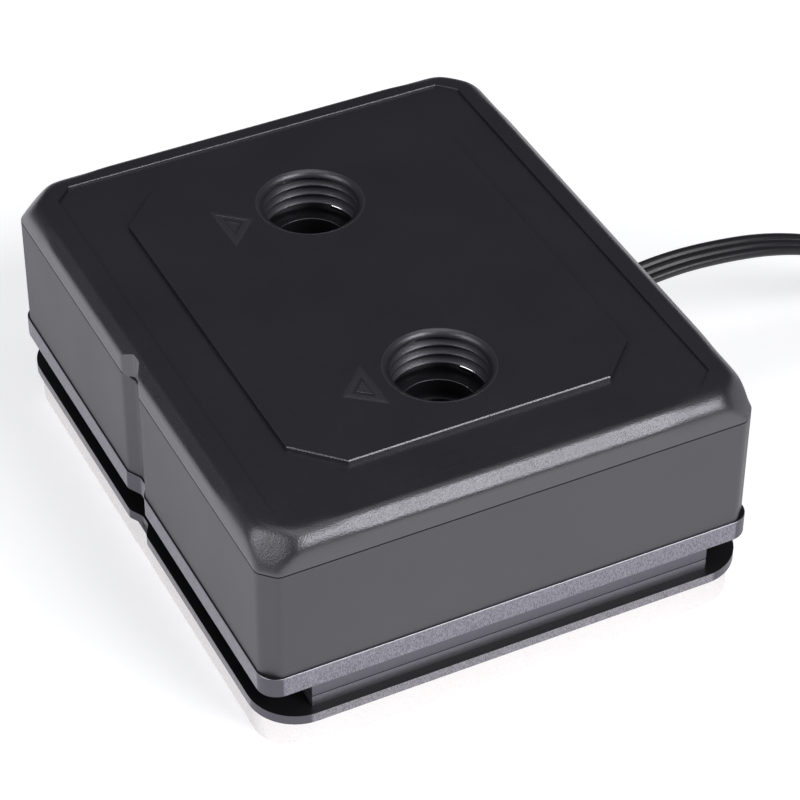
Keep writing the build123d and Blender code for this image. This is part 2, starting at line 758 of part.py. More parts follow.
pieces = {
    "top_cover": top_cover,
    "port_seals": port_seals,
    "housing_body": housing_body,
    "perimeter_seals": perimeter_seals,
    "upper_plate": upper_plate,
    "flow_plate": flow_plate,
    "jet_plate": jet_plate,
    "lower_plate": lower_plate,
    "cold_plate": cold_plate,
    "impeller": impeller,
    "rotor_magnet": rotor_magnet,
    "bearing_bush": bearing_bush,
    "thrust_washer": thrust_washer,
    "shaft_retainer": shaft_retainer,
    "pump_shaft": pump_shaft,
    "separation_can": separation_can,
    "can_seal": can_seal,
    "stator_core": stator_core,
    "stator_coils": stator_coils,
    "driver_board": driver_board,
    "board_components": board_components,
    "board_screws": board_screws,
    "long_screws": long_screws,
    "short_screws": short_screws,
    "cable_grommet": cable_grommet,
    "cable_lead": cable_lead,
    "ribbon_cable": ribbon_cable,
    "cable_coil": cable_coil,
    "cable_tail": cable_tail,
    "plug_housing": plug_housing,
    "plug_contacts": plug_contacts,
}
for name, piece in pieces.items():
    shape = Compound(children=[Part() + solid for solid in piece]) if isinstance(piece, list) else piece
    export_step(shape, f"parts/{name}.step")
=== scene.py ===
import math

import bmesh
import bpy
from mathutils import Euler, Matrix, Vector


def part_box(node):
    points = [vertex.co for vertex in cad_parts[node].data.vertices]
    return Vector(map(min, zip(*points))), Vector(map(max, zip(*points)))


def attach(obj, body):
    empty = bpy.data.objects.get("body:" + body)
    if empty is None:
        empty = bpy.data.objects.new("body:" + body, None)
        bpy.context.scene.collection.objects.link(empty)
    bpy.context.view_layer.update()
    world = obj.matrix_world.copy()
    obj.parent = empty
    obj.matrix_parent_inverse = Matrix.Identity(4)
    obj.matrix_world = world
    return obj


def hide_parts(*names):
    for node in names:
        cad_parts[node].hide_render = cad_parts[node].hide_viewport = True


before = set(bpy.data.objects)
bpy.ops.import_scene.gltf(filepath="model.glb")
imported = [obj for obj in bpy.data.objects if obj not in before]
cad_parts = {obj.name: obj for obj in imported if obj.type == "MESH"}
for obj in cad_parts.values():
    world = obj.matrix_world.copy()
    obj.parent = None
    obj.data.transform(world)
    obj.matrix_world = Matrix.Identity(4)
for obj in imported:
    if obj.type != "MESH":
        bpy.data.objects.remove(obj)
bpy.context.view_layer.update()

mm = 0.001
noiseSpan = (0.3, 0.7)  # nearly all values of a noise texture lie in here


def toLinear(hexColour):
    value = hexColour.lstrip("#")
    parts = [int(value[i:i + 2], 16) / 255 for i in (0, 2, 4)]
    return [p / 12.92 if p <= 0.04045 else ((p + 0.055) / 1.055) ** 2.4 for p in parts] + [1.0]


def scaled(colour, factor):
    return [min(1, c * factor) for c in colour[:3]] + [1]


def addNode(tree, kind, inputs=None, **settings):
    node = tree.nodes.new(kind)
    for name, value in settings.items():
        setattr(node, name, value)
    for name, value in (inputs or {}).items():
        if isinstance(value, bpy.types.NodeSocket):
            tree.links.new(value, node.inputs[name])
        else:
            node.inputs[name].default_value = value
    return node


def newMaterial(name):
    material = bpy.data.materials.new(name)
    material.use_nodes = True
    tree = material.node_tree
    shader = tree.nodes["Principled BSDF"]
    return material, tree, shader


def assign(obj, material):
    obj.data.materials.clear()
    obj.data.materials.append(material)


def meshPiece(name, points, faces, material, body, smooth=True):
    mesh = bpy.data.meshes.new(name)
    mesh.from_pydata([[c * mm for c in p] for p in points], [], faces)
    mesh.validate()
    work = bmesh.new()
    work.from_mesh(mesh)
    bmesh.ops.recalc_face_normals(work, faces=work.faces[:])
    work.to_mesh(mesh)
    work.free()
    if smooth:
        mesh.shade_smooth()
    piece = bpy.data.objects.new(name, mesh)
    bpy.context.scene.collection.objects.link(piece)
    assign(piece, material)
    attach(piece, body)
    return piece


def quadsBetween(rings, width, closed=False):
    # joins each ring of points to the next, and the last to the first when closed
    faces = []
    for i in range(rings if closed else rings - 1):
        j = (i + 1) % rings
        for k in range(width):
            m = (k + 1) % width
            faces.append((i * width + k, j * width + k, j * width + m, i * width + m))
    return faces


def endCaps(rings, width):
    last = rings * width
    return [tuple(range(width)), tuple(range(last - width, last))[::-1]]


# camera, solved from the straight edges of the block
camera = {
    "place": (-124.71, -256.20, 253.82),  # mm
    "pitchDown": 40.20,  # degrees, as the next two
    "turnRight": 26.62,
    "roll": 0.336,
    "lens": 137.4,  # mm, on a sensor of the width below
    "sensor": 36.0,
    "clip": (0.01, 20),  # m
}

camData = bpy.data.cameras.new("photoCamera")
camData.lens = camera["lens"]
camData.sensor_width = camera["sensor"]
camData.clip_start, camData.clip_end = camera["clip"]
camObject = bpy.data.objects.new("photoCamera", camData)
aim = Euler((math.radians(90 - camera["pitchDown"]), 0, math.radians(-camera["turnRight"])))
turned = aim.to_matrix() @ Matrix.Rotation(math.radians(camera["roll"]), 3, "Z")
camObject.matrix_world = Matrix.Translation(Vector(camera["place"]) * mm) @ turned.to_4x4()
bpy.context.scene.collection.objects.link(camObject)
bpy.context.scene.camera = camObject
bpy.context.scene.view_settings.view_transform = "Standard"
print("camera placed")

# flat three-wire cable: out of the gland, down to the floor, two turns of a coil, plug
cable = {
    "width": 4.1,  # mm
    "thickness": 1.35,
    "lobePitch": 1.375,  # from wire to wire
    "lobeAngles": (168, 145, 120, 90, 60, 35, 12),  # degrees, over the top of one wire
    "exit": (32.0, 0.0, 19.4),
    "coilCentre": (92.0, -26.2),
    "innerTurn": 22.7,  # radius
    "outerTurn": 26.2,
    "turns": 2,
    "pointsPerTurn": 14,
    "layHeight": 2.05,  # middle of the ribbon, which stands on edge there
    "tailRun": 7.4,
    "tailHeadings": [-14, -42, -70, -98, -122],  # degrees
    "rollsUp": (34, 64),  # mm from the exit, where it turns on edge
    "rollsDown": (22, 4),  # mm from the plug, where it turns flat again
    "length": 0.404,  # m
    "sheath": "#1d1c20",
    "roughness": (0.30, 0.42),
    "grain": 0.3846,  # mm, coarser than the die's own marks, so that it shows
    "grainDepth": 0.05,
}

routePoints = [
    cable["exit"],
    (35.6, 0, 19.4),
    (41.8, 0, 20.0),
    (48.5, 0, 19.55),
    (56.0, 0, 18.3),
    (64.0, 0, 15.4),
    (72.0, 0, 10.9),
    (79.5, 0, 6.2),
    (86.0, 0, 3.2),
]


def coilPoints():
    centreX, centreY = cable["coilCentre"]
    count = cable["turns"] * cable["pointsPerTurn"]
    points = []
    for i in range(count + 1):
        share = i / count
        radius = cable["outerTurn"] + (cable["innerTurn"] - cable["outerTurn"]) * share
        radius /= math.cos(math.pi / cable["pointsPerTurn"]) ** 0.5  # the line runs inside its points
        angle = math.pi / 2 - 2 * math.pi * cable["turns"] * share
        x = centreX + radius * math.cos(angle)
        y = centreY + radius * math.sin(angle)
        points.append((x, y, cable["layHeight"]))
    return points


def tailPoints(start):
    points = []
    x, y, z = start
    for heading in cable["tailHeadings"]:
        turn = math.radians(heading)
        x += cable["tailRun"] * math.cos(turn)
        y += cable["tailRun"] * math.sin(turn)
        points.append((x, y, z))
    return points


def smoothLine(points):
    curve = bpy.data.curves.new("routeLine", "CURVE")
    curve.dimensions = "3D"
    curve.resolution_u = 10
    spline = curve.splines.new("NURBS")
    spline.points.add(len(points) - 1)
    for target, point in zip(spline.points, points):
        target.co = [c * mm for c in point] + [1]
    spline.order_u = 3
    spline.use_endpoint_u = True
    holder = bpy.data.objects.new("routeLine", curve)
    bpy.context.scene.collection.objects.link(holder)
    line = bpy.data.meshes.new_from_object(holder)
    found = [v.co.copy() for v in line.vertices]
    bpy.data.objects.remove(holder)
    bpy.data.curves.remove(curve)
    bpy.data.meshes.remove(line)
    return found


def ribbonSection():
    radius = cable["thickness"] / 2
    pitch = cable["lobePitch"]
    top = []
    for lobe in (-1, 0, 1):
        for degrees in cable["lobeAngles"]:
            angle = math.radians(degrees)
            top.append((lobe * pitch + radius * math.cos(angle), radius * math.sin(angle)))
    bottom = [(-w, -h) for w, h in top]
    return top + bottom


def turnShare(value, start, end):
    share = min(1, max(0, (value - start) / (end - start)))
    return share * share * (3 - 2 * share)


coil = coilPoints()
tailStart = (cable["coilCentre"][0], cable["coilCentre"][1] + cable["innerTurn"], cable["layHeight"])
tail = tailPoints(tailStart)
route = smoothLine(routePoints + coil + tail)
travelled = [0]
for before, after in zip(route, route[1:]):
    travelled.append(travelled[-1] + (after - before).length)
cableLength = travelled[-1]

section = ribbonSection()
upFrom, upTo = [distance * mm for distance in cable["rollsUp"]]
downFrom, downTo = [cableLength - distance * mm for distance in cable["rollsDown"]]
ribbonPoints = []
for i, place in enumerate(route):
    ahead = (route[min(i + 1, len(route) - 1)] - route[max(i - 1, 0)]).normalized()
    level = Vector((-ahead.y, ahead.x, 0)).normalized()
    upward = ahead.cross(level)
    # flat at the gland, on edge in the coil, flat again at the plug
    onEdge = turnShare(travelled[i], upFrom, upTo) - turnShare(travelled[i], downFrom, downTo)
    roll = onEdge * math.pi / 2
    wide = level * math.cos(roll) + upward * math.sin(roll)
    thin = upward * math.cos(roll) - level * math.sin(roll)
    for w, h in section:
        ribbonPoints.append((place + wide * w * mm + thin * h * mm) / mm)
ribbonFaces = quadsBetween(len(route), len(section)) + endCaps(len(route), len(section))

# soft PVC, extruded: a satin skin with the faint grain of the die
cableMaterial, tree, shader = newMaterial("Black PVC cable sheath, extruded")
place = addNode(tree, "ShaderNodeTexCoord").outputs["Object"]
grain = addNode(tree, "ShaderNodeTexNoise", {
    "Vector": place, "Scale": 1 / (cable["grain"] * mm), "Detail": 3,
})
glossy, dull = cable["roughness"]
rough = addNode(tree, "ShaderNodeMapRange", {
    "Value": grain.outputs["Fac"], "To Min": glossy, "To Max": dull,
})
tree.links.new(rough.outputs["Result"], shader.inputs["Roughness"])
bump = addNode(tree, "ShaderNodeBump", {
    "Height": grain.outputs["Fac"], "Strength": 0.12, "Distance": cable["grainDepth"] * mm,
})
tree.links.new(bump.outputs["Normal"], shader.inputs["Normal"])
shader.inputs["Base Color"].default_value = toLinear(cable["sheath"])

ribbon = meshPiece("ribbonLead", ribbonPoints, ribbonFaces, cableMaterial, "block")
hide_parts("ribbon_cable", "cable_coil", "cable_tail")
print("cable laid, mm:", round(cableLength / mm, 1))

# lid and body: aluminium under a dyed anodic layer. The layer is what shows, dark and glassy. Its IOR is
# that of alumina, 1.77, and somewhat more, because the metal below it shines through
anodised = {
    "lid": {"colour": "#171619", "roughness": 0.37, "ior": 2.0, "grain": 0.18, "depth": 0.036},  # mm
    "body": {"colour": "#222125", "roughness": 0.50, "ior": 1.9, "grain": 0.25, "depth": 0.004},
    "thread": {"colour": "#2a292e", "roughness": 0.38, "ior": 1.85, "grain": 0.2, "depth": 0.02},
    "tint": "#f7f5ff",
    "cloud": 11.1,  # mm, faint clouds of tone in the dye
    "cloudTone": 0.18,
    "roughSpread": 0.02,
}


def anodisedMetal(name, finish):
    # the layer gives a dark satin gloss; the grain is drawn coarser than real blasting, so that it shows
    material, tree, shader = newMaterial(name)
    place = addNode(tree, "ShaderNodeTexCoord").outputs["Object"]
    grain = addNode(tree, "ShaderNodeTexNoise", {
        "Vector": place, "Scale": 1 / (finish["grain"] * mm), "Detail": 1, "Roughness": 0.6,
    })
    cloud = addNode(tree, "ShaderNodeTexNoise", {
        "Vector": place, "Scale": 1 / (anodised["cloud"] * mm), "Detail": 3,
    })
    base = toLinear(finish["colour"])
    tone = addNode(tree, "ShaderNodeMix", {
        "Factor": cloud.outputs["Fac"],
        "A": scaled(base, 1 - anodised["cloudTone"]), "B": scaled(base, 1 + anodised["cloudTone"]),
    }, data_type="RGBA")
    tree.links.new(tone.outputs["Result"], shader.inputs["Base Color"])
    rough = addNode(tree, "ShaderNodeMapRange", {
        "Value": cloud.outputs["Fac"], "From Min": noiseSpan[0], "From Max": noiseSpan[1],
        "To Min": finish["roughness"] - anodised["roughSpread"],
        "To Max": finish["roughness"] + anodised["roughSpread"],
    })
    tree.links.new(rough.outputs["Result"], shader.inputs["Roughness"])
    bump = addNode(tree, "ShaderNodeBump", {
        "Height": grain.outputs["Fac"], "Strength": 1.0, "Distance": finish["depth"] * mm,
    })
    tree.links.new(bump.outputs["Normal"], shader.inputs["Normal"])
    shader.inputs["IOR"].default_value = finish["ior"]
    shader.inputs["Specular Tint"].default_value = toLinear(anodised["tint"])
    return material


# stack of plates under the body
plates = {
    "blackTop": "#121214",
    "upperEdge": "#86848d",
    "lowerEdge": "#88868c",
    "smoothEdge": "#5e5c64",  # round the corners of the outline
    "brokenEdge": "#8c8a92",  # on the chamfers
    # painted shade: the flow plate is darker than the jet plate, standing for the shade under the upper
    # plate
    "flowPlateShaded": "#6f6d75",
    "jetPlate": "#8b8991",
    "nickel": "#e9e6e5",
    "metallic": 0.9,
    "roughness": (0.36, 0.5),
    "scratch": 0.085,  # mm, coarser than real grinding marks, so that they show
    "upright": 0.33,  # scale along z: the marks stand three times as tall as they are wide
    "scratchSpan": (0.4, 0.6),
    "scratchTone": (0.66, 1.45),
    "scratchDepth": 0.008,  # mm
    # how far a normal lies along an axis: where each finish starts, and where it is whole
    "straightSpan": (0.990, 0.996),
    "brokenSpan": (0.35, 0.55),
    "topSpan": (0.85, 0.95),
}


def coatedPlate(name, edgeColour):
    # black coat on the broad faces; the straight edges are ground bare, the rounded corners only wiped
    material, tree, shader = newMaterial(name)
    place = addNode(tree, "ShaderNodeTexCoord").outputs["Object"]
    facing = addNode(tree, "ShaderNodeNewGeometry").outputs["Normal"]
    split = addNode(tree, "ShaderNodeSeparateXYZ", {"Vector": facing})
    along = []
    for axis in "XYZ":
        amount = addNode(tree, "ShaderNodeMath", {0: split.outputs[axis]}, operation="ABSOLUTE")
        along.append(amount.outputs[0])
    side = addNode(tree, "ShaderNodeMath", {0: along[0], 1: along[1]}, operation="MAXIMUM")
    masks = {}
    for part, amount in (("straight", side.outputs[0]), ("broken", along[2]), ("top", along[2])):
        low, high = plates[part + "Span"]
        mask = addNode(tree, "ShaderNodeMapRange", {"Value": amount, "From Min": low, "From Max": high})
        masks[part] = mask.outputs["Result"]
    stretch = addNode(tree, "ShaderNodeMapping", {"Vector": place, "Scale": (1, 1, plates["upright"])})
    scratch = addNode(tree, "ShaderNodeTexNoise", {
        "Vector": stretch.outputs["Vector"], "Scale": 1 / (plates["scratch"] * mm),
        "Detail": 2, "Roughness": 0.7,
    })
    low, high = plates["scratchSpan"]
    spread = addNode(tree, "ShaderNodeMapRange", {
        "Value": scratch.outputs["Fac"], "From Min": low, "From Max": high,
    })
    dark, bright = [scaled(toLinear(edgeColour), factor) for factor in plates["scratchTone"]]
    groundTone = addNode(tree, "ShaderNodeMix", {
        "Factor": spread.outputs["Result"], "A": dark, "B": bright,
    }, data_type="RGBA")
    edgeTone = addNode(tree, "ShaderNodeMix", {
        "Factor": masks["straight"], "A": toLinear(plates["smoothEdge"]), "B": groundTone.outputs["Result"],
    }, data_type="RGBA")
    bareTone = addNode(tree, "ShaderNodeMix", {
        "Factor": masks["broken"], "A": edgeTone.outputs["Result"], "B": toLinear(plates["brokenEdge"]),
    }, data_type="RGBA")
    tone = addNode(tree, "ShaderNodeMix", {
        "Factor": masks["top"], "A": bareTone.outputs["Result"], "B": toLinear(plates["blackTop"]),
    }, data_type="RGBA")
    tree.links.new(tone.outputs["Result"], shader.inputs["Base Color"])
    metal = addNode(tree, "ShaderNodeMapRange", {
        "Value": masks["top"], "To Min": plates["metallic"], "To Max": 0.0,
    })
    tree.links.new(metal.outputs["Result"], shader.inputs["Metallic"])
    glossy, dull = plates["roughness"]
    rough = addNode(tree, "ShaderNodeMapRange", {
        "Value": spread.outputs["Result"], "To Min": glossy, "To Max": dull,
    })
    tree.links.new(rough.outputs["Result"], shader.inputs["Roughness"])
    depth = addNode(tree, "ShaderNodeMath", {
        0: spread.outputs["Result"], 1: masks["straight"],
    }, operation="MULTIPLY")
    bump = addNode(tree, "ShaderNodeBump", {
        "Height": depth.outputs[0], "Strength": 0.6, "Distance": plates["scratchDepth"] * mm,
    })
    tree.links.new(bump.outputs["Normal"], shader.inputs["Normal"])
    return material


# plain finishes: an even tone with a little grain left by the tool or the mould, drawn coarser than it is
plain = {"roughSpread": 0.04, "smoothest": 0.03, "bumpStrength": 0.5}


def plainFinish(name, colour, roughness, metallic=1.0, grain=0.2, contrast=0.06, depth=0.002):
    material, tree, shader = newMaterial(name)
    place = addNode(tree, "ShaderNodeTexCoord").outputs["Object"]
    marks = addNode(tree, "ShaderNodeTexNoise", {"Vector": place, "Scale": 1 / (grain * mm), "Detail": 2})
    base = toLinear(colour)
    tone = addNode(tree, "ShaderNodeMix", {
        "Factor": marks.outputs["Fac"], "A": scaled(base, 1 - contrast), "B": scaled(base, 1 + contrast),
    }, data_type="RGBA")
    tree.links.new(tone.outputs["Result"], shader.inputs["Base Color"])
    rough = addNode(tree, "ShaderNodeMapRange", {
        "Value": marks.outputs["Fac"], "From Min": noiseSpan[0], "From Max": noiseSpan[1],
        "To Min": max(plain["smoothest"], roughness - plain["roughSpread"]),
        "To Max": roughness + plain["roughSpread"],
    })
    tree.links.new(rough.outputs["Result"], shader.inputs["Roughness"])
    bump = addNode(tree, "ShaderNodeBump", {
        "Height": marks.outputs["Fac"], "Strength": plain["bumpStrength"], "Distance": depth * mm,
    })
    tree.links.new(bump.outputs["Normal"], shader.inputs["Normal"])
    shader.inputs["Metallic"].default_value = metallic
    return material


# blasting leaves the lid an even satin black, drawing leaves the body smoother, and the threads shine
lidMetal = anodisedMetal("Black anodised aluminium, bead-blasted", anodised["lid"])
bodyMetal = anodisedMetal("Black anodised aluminium, satin extruded", anodised["body"])
threadMetal = anodisedMetal("Black anodised aluminium, turned", anodised["thread"])
# painted glints: bare metal, nearly a mirror, set only on the short stretches where a lamp's glint falls;
# painted highlight: a dull grey ring for the light line on the edge of each port's mouth
paintedGlintMetal = plainFinish("Bright aluminium, painted glint", "#b9b8bd", 0.16, grain=0.3, contrast=0.02, depth=0.0005)
mouthHighlightMetal = plainFinish("Anodised aluminium, painted edge highlight", "#66646b", 0.35, metallic=0.7)
upperMetal = coatedPlate("Black coated aluminium plate, edge ground, upper", plates["upperEdge"])
lowerMetal = coatedPlate("Black coated aluminium plate, edge ground, lower", plates["lowerEdge"])
# the cutter's marks speckle the edges of both thin sheets; the flow plate's darker tone is painted shade,
# for the shade under the upper plate
flowMetalShaded = plainFinish("Aluminium sheet, milled", plates["flowPlateShaded"], 0.5, grain=0.16, contrast=0.3)
jetMetal = plainFinish(
    "Aluminium sheet, milled, jet plate", plates["jetPlate"], 0.5, grain=0.16, contrast=0.35,
)
# pale and slightly warm, with a soft sheen
nickel = plainFinish(
    "Nickel plated copper, satin ground", plates["nickel"], 0.3, contrast=0.01, depth=0.0003,
)
moulded = plainFinish("PPS plastic, moulded", "#262628", 0.5, metallic=0)  # dull black
ferrite = plainFinish("Ferrite, sintered and ground", "#47474a", 0.5, metallic=0.2)  # grey, a dim sheen
carbon = plainFinish("Carbon graphite, lapped", "#303032", 0.35, metallic=0)  # dark, like pencil lead
ceramic = plainFinish("Alumina ceramic, ground", "#ece9e2", 0.25, metallic=0)  # ivory, smooth
steel = plainFinish("Zinc plated steel, turned", "#a9a9ad", 0.32)  # light grey metal
# painted shade: a black strip laid in the joints under the lid and between the plates, standing for the
# shadow in those gaps
paintedJointShade = plainFinish("Black strip, painted shade in the joints", "#050506", 0.8, metallic=0)  # no light comes back
rubber = plainFinish("Nitrile rubber, moulded", "#161617", 0.6, metallic=0)  # matt black
laminate = plainFinish("Electrical steel, stamped", "#7a7a7e", 0.4)  # mid grey metal
copper = plainFinish("Enamelled copper wire, wound", "#b5623a", 0.3)  # reddish, glossy
boardGreen = plainFinish("Glass epoxy board, solder masked", "#1f5a34", 0.35, metallic=0)  # green, satin
chipBlack = plainFinish("Epoxy chip package, moulded", "#232326", 0.45, metallic=0)  # dark, half dull
tin = plainFinish("Tin plated brass, stamped", "#c9c8c4", 0.3)  # silvery
plugPlastic = plainFinish("Nylon, moulded", "#1b1b1e", 0.45, metallic=0, grain=0.4)  # black, half dull

finishes = {
    "top_cover": lidMetal,
    "housing_body": bodyMetal,
    "upper_plate": upperMetal,
    "lower_plate": lowerMetal,
    "flow_plate": flowMetalShaded,
    "jet_plate": jetMetal,
    "cold_plate": nickel,
    "impeller": moulded,
    "rotor_magnet": ferrite,
    "bearing_bush": carbon,
    "thrust_washer": ceramic,
    "pump_shaft": ceramic,
    "shaft_retainer": steel,
    "separation_can": moulded,
    "can_seal": rubber,
    "port_seals": rubber,
    "perimeter_seals": rubber,
    "stator_core": laminate,
    "stator_coils": copper,
    "driver_board": boardGreen,
    "board_components": chipBlack,
    "board_screws": steel,
    "long_screws": steel,
    "short_screws": steel,
    "cable_grommet": rubber,
    "cable_lead": cableMaterial,
    "plug_housing": plugPlastic,
    "plug_contacts": tin,
}
for node, material in finishes.items():
    assign(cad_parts[node], material)
print("finishes given:", len(set(finishes.values())))

# lid with its corners blended: the facets run softly into the bevels, as blasting leaves them
lid = {
    "halfWidth": 31.3,  # mm
    "halfLength": 37.15,
    "seam": 26.85,  # height, as the next
    "top": 31.25,
    "bevel": 1.6,
    "cornerCut": 1.9,
    "facetReach": 6.0,  # from the corner along x + y, where the facet meets the top
    "facetLean": 37.0,  # degrees
    "middle": (27.7, 33.8),  # mm, half sizes of the part that stays as it is
    "sharpness": 3.2,  # per mm, lower is rounder
    "fadeIn": (14.0, 9.5),  # mm from the corner along x + y
    "fadeUp": (0.1, 1.3),  # mm above the seam
    "seamGap": 0.2,  # up to here above the seam nothing moves
    "skin": 0.5,  # how deep under the lid's faces a point still counts as on them
    "spacing": 0.4,  # longest edge near a corner
    "passes": 7,  # rounds of splitting longer ones
    "settling": 4,  # rounds in which a point finds the blended face
    "weld": 0.0001,
}


def lidPlanes():
    half = math.sqrt(0.5)
    lean = math.radians(lid["facetLean"])
    across = lid["halfWidth"] + lid["halfLength"]
    facet = Vector((math.cos(lean) * half, math.cos(lean) * half, math.sin(lean)))
    facetOffset = math.cos(lean) * half * (across - lid["facetReach"]) + math.sin(lean) * lid["top"]
    return [
        (Vector((1, 0, 0)), lid["halfWidth"]),
        (Vector((0, 1, 0)), lid["halfLength"]),
        (Vector((0, 0, 1)), lid["top"]),
        (Vector((half, half, 0)), half * (across - lid["cornerCut"])),
        (Vector((half, 0, half)), half * (lid["halfWidth"] + lid["top"] - lid["bevel"])),
        (Vector((0, half, half)), half * (lid["halfLength"] + lid["top"] - lid["bevel"])),
        (facet, facetOffset),
    ]


def blendedDepth(planes, point):
    # smooth maximum of the distances to the lid's planes, and the direction in which it grows
    depths = [normal.dot(point) - offset for normal, offset in planes]
    deepest = max(depths)
    weights = [math.exp(lid["sharpness"] * (d - deepest)) for d in depths]
    total = sum(weights)
    slope = Vector((0, 0, 0))
    for (normal, offset), weight in zip(planes, weights):
        slope += normal * weight / total
    return deepest + math.log(total) / lid["sharpness"], slope


def fromCorner(point):
    return lid["halfWidth"] + lid["halfLength"] - abs(point.x) - abs(point.y)


def onSkin(planes, point):
    mirrored = Vector((abs(point.x), abs(point.y), point.z))
    inMiddle = mirrored.x < lid["middle"][0] and mirrored.y < lid["middle"][1]
    deepest = max(normal.dot(mirrored) - offset for normal, offset in planes)
    return deepest > -lid["skin"] and not inMiddle and point.z > lid["seam"] + lid["seamGap"]


def blendedLid(name, node, material):
    planes = lidPlanes()
    mesh = node.data.copy()
    mesh.transform(Matrix.Scale(1 / mm, 4))
    kept = mesh.attributes.new("keptNormal", "FLOAT_VECTOR", "CORNER")
    flat = [0.0] * (3 * len(mesh.loops))
    mesh.corner_normals.foreach_get("vector", flat)
    kept.data.foreach_set("vector", flat)
    work = bmesh.new()
    work.from_mesh(mesh)
    bmesh.ops.remove_doubles(work, verts=work.verts, dist=lid["weld"])
    # a cut across each corner, then short edges between it and the corner
    cut = (lid["halfWidth"] + lid["halfLength"] - lid["fadeIn"][0]) / 2
    for sx, sy in ((1, 1), (1, -1), (-1, 1), (-1, -1)):
        bmesh.ops.bisect_plane(
            work, geom=work.verts[:] + work.edges[:] + work.faces[:], dist=lid["weld"],
            plane_co=(sx * cut, sy * cut, 0), plane_no=(sx, sy, 0),
        )
    for _ in range(lid["passes"]):
        near = [f for f in work.faces if fromCorner(f.calc_center_median()) < lid["fadeIn"][0]
                and onSkin(planes, f.calc_center_median())]
        edges = {e for f in near for e in f.edges if e.calc_length() > lid["spacing"]}
        if not edges:
            break
        bmesh.ops.subdivide_edges(work, edges=list(edges), cuts=1)
        bmesh.ops.triangulate(work, faces=[f for f in work.faces if len(f.verts) > 3])
    # each point moves to the blended face, and takes its direction for the shading
    normalLayer = work.loops.layers.float_vector["keptNormal"]
    for vert in work.verts:
        start = vert.co.copy()
        if not onSkin(planes, start):
            continue
        share = turnShare(-fromCorner(start), -lid["fadeIn"][0], -lid["fadeIn"][1])
        share *= turnShare(start.z - lid["seam"], *lid["fadeUp"])
        if share == 0:
            continue
        moved = Vector((abs(start.x), abs(start.y), start.z))
        for _ in range(lid["settling"]):
            depth, slope = blendedDepth(planes, moved)
            moved -= slope * depth / slope.length_squared
        slope = blendedDepth(planes, moved)[1]
        signs = (math.copysign(1, start.x), math.copysign(1, start.y), 1)
        target = Vector([m * s for m, s in zip(moved, signs)])
        outward = Vector([m * s for m, s in zip(slope.normalized(), signs)])
        vert.co = start.lerp(target, share)
        for loop in vert.link_loops:
            if onSkin(planes, loop.face.calc_center_median()):
                loop[normalLayer] = loop[normalLayer].lerp(outward, share)
    shaped = bpy.data.meshes.new(name)
    work.to_mesh(shaped)
    work.free()
    shaped.transform(Matrix.Scale(mm, 4))
    normals = [Vector(item.vector).normalized() for item in shaped.attributes["keptNormal"].data]
    shaped.shade_smooth()
    shaped.normals_split_custom_set(normals)
    shaped.attributes.remove(shaped.attributes["keptNormal"])
    piece = bpy.data.objects.new(name, shaped)
    bpy.context.scene.collection.objects.link(piece)
    assign(piece, material)
    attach(piece, "block")
    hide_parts("top_cover")
    print(name, len(shaped.polygons))


blendedLid("blendedLid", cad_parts["top_cover"], lidMetal)

# fine lines round the block: painted shade, as black strips, in the gap under the lid and in the joint
# between the plates; and a bead at the recess edge
lines = {
    "cornerRound": 1.2,  # mm, at the block's cut corners
    "notch": (-0.1, 5.2, 1.6, 1.0),  # middle, mouth, floor, depth
    "notchRounds": (1.2, 1.1),  # at its mouth and its floor
    "seamHeight": (26.75, 27.01),
    "joint": 0.06,  # half the height of the line
    "proud": 0.012,  # how far the lines stand out of the wall
    "sunk": 0.1,  # and how far they reach into it
    "recess": (27.5, 33.6, 2.2),  # half width, half length, corner cut
    "bead": 0.035,
    "beadRise": 0.01,  # its crest above the lid
}


def roundedLoop(corners, radii, steps=6):
    # closed outline with each corner rounded by its own radius, in so many steps
    loop = []
    for i, (corner, radius) in enumerate(zip(corners, radii)):
        here = Vector(corner)
        back = (Vector(corners[i - 1]) - here).normalized()
        ahead = (Vector(corners[(i + 1) % len(corners)]) - here).normalized()
        half = back.angle(ahead) / 2
        if radius == 0:
            loop.append(here)
            continue
        centre = here + (back + ahead).normalized() * radius / math.sin(half)
        first = here + back * radius / math.tan(half) - centre
        last = here + ahead * radius / math.tan(half) - centre
        loop += [centre + first.slerp(last, k / steps) for k in range(steps + 1)]
    return loop


def loopStrip(name, loop, profile, material):
    # profile: distance outside the loop, and height
    points = []
    for i, place in enumerate(loop):
        back = (place - loop[i - 1]).normalized()
        ahead = (loop[(i + 1) % len(loop)] - place).normalized()
        along = (back + ahead).normalized()
        out = Vector((along.y, -along.x)) / max(0.5, along.dot(ahead))  # 0.5 keeps a sharp turn short
        for offset, height in profile:
            points.append((place.x + out.x * offset, place.y + out.y * offset, height))
    faces = quadsBetween(len(loop), len(profile), closed=True)
    meshPiece(name, points, faces, material, "block", smooth=False)


def lineProfile(low, high):
    proud, sunk = lines["proud"], -lines["sunk"]
    return [(proud, low), (proud, high), (sunk, high), (sunk, low)]


def cutCorners(halfWidth, halfLength, cut):
    return [
        (-halfWidth + cut, -halfLength), (halfWidth - cut, -halfLength),
        (halfWidth, -halfLength + cut), (halfWidth, halfLength - cut),
        (halfWidth - cut, halfLength), (-halfWidth + cut, halfLength),
        (-halfWidth, halfLength - cut), (-halfWidth, -halfLength + cut),
    ]


